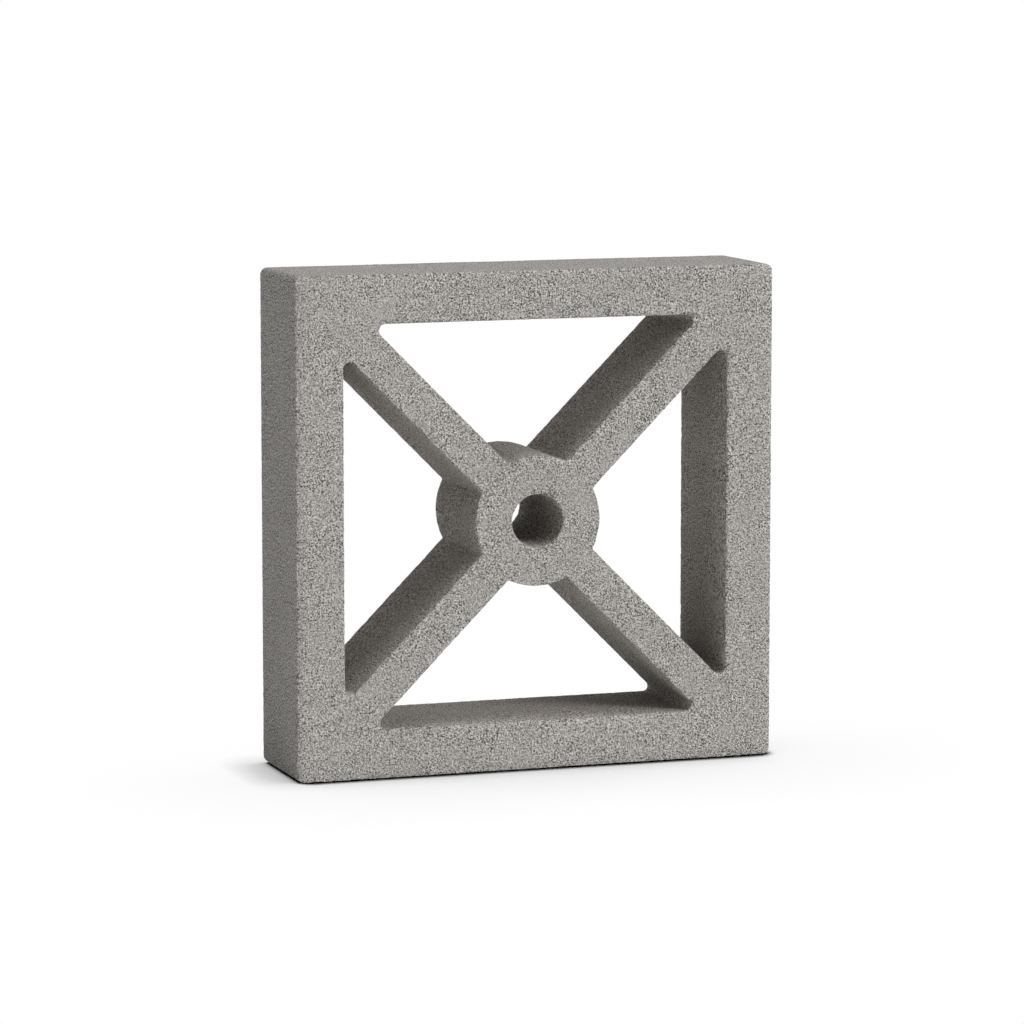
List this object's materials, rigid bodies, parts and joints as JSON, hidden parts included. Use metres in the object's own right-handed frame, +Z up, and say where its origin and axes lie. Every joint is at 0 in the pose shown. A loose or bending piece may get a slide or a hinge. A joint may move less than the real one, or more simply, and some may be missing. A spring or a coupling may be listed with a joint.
{
  "type": "decorative screen block",
  "caption": "Square pierced concrete block with a plain frame, diagonal webs and a round bored hub, laid in courses to make an open screen wall.",
  "frame": {"origin": "middle of the underside, halfway through the block's depth", "axes": "+Z up as the block is laid, +X along the face to the right as seen from the show face, -Y out of the show face"},
  "size_m": [0.4, 0.1, 0.4],
  "materials": {
    "concrete": "dry-cast grey concrete, sandy on the show faces and smoother on the moulded edges"
  },
  "bodies": {
    "root": {"screen_block": "concrete"}
  },
  "joints": []
}
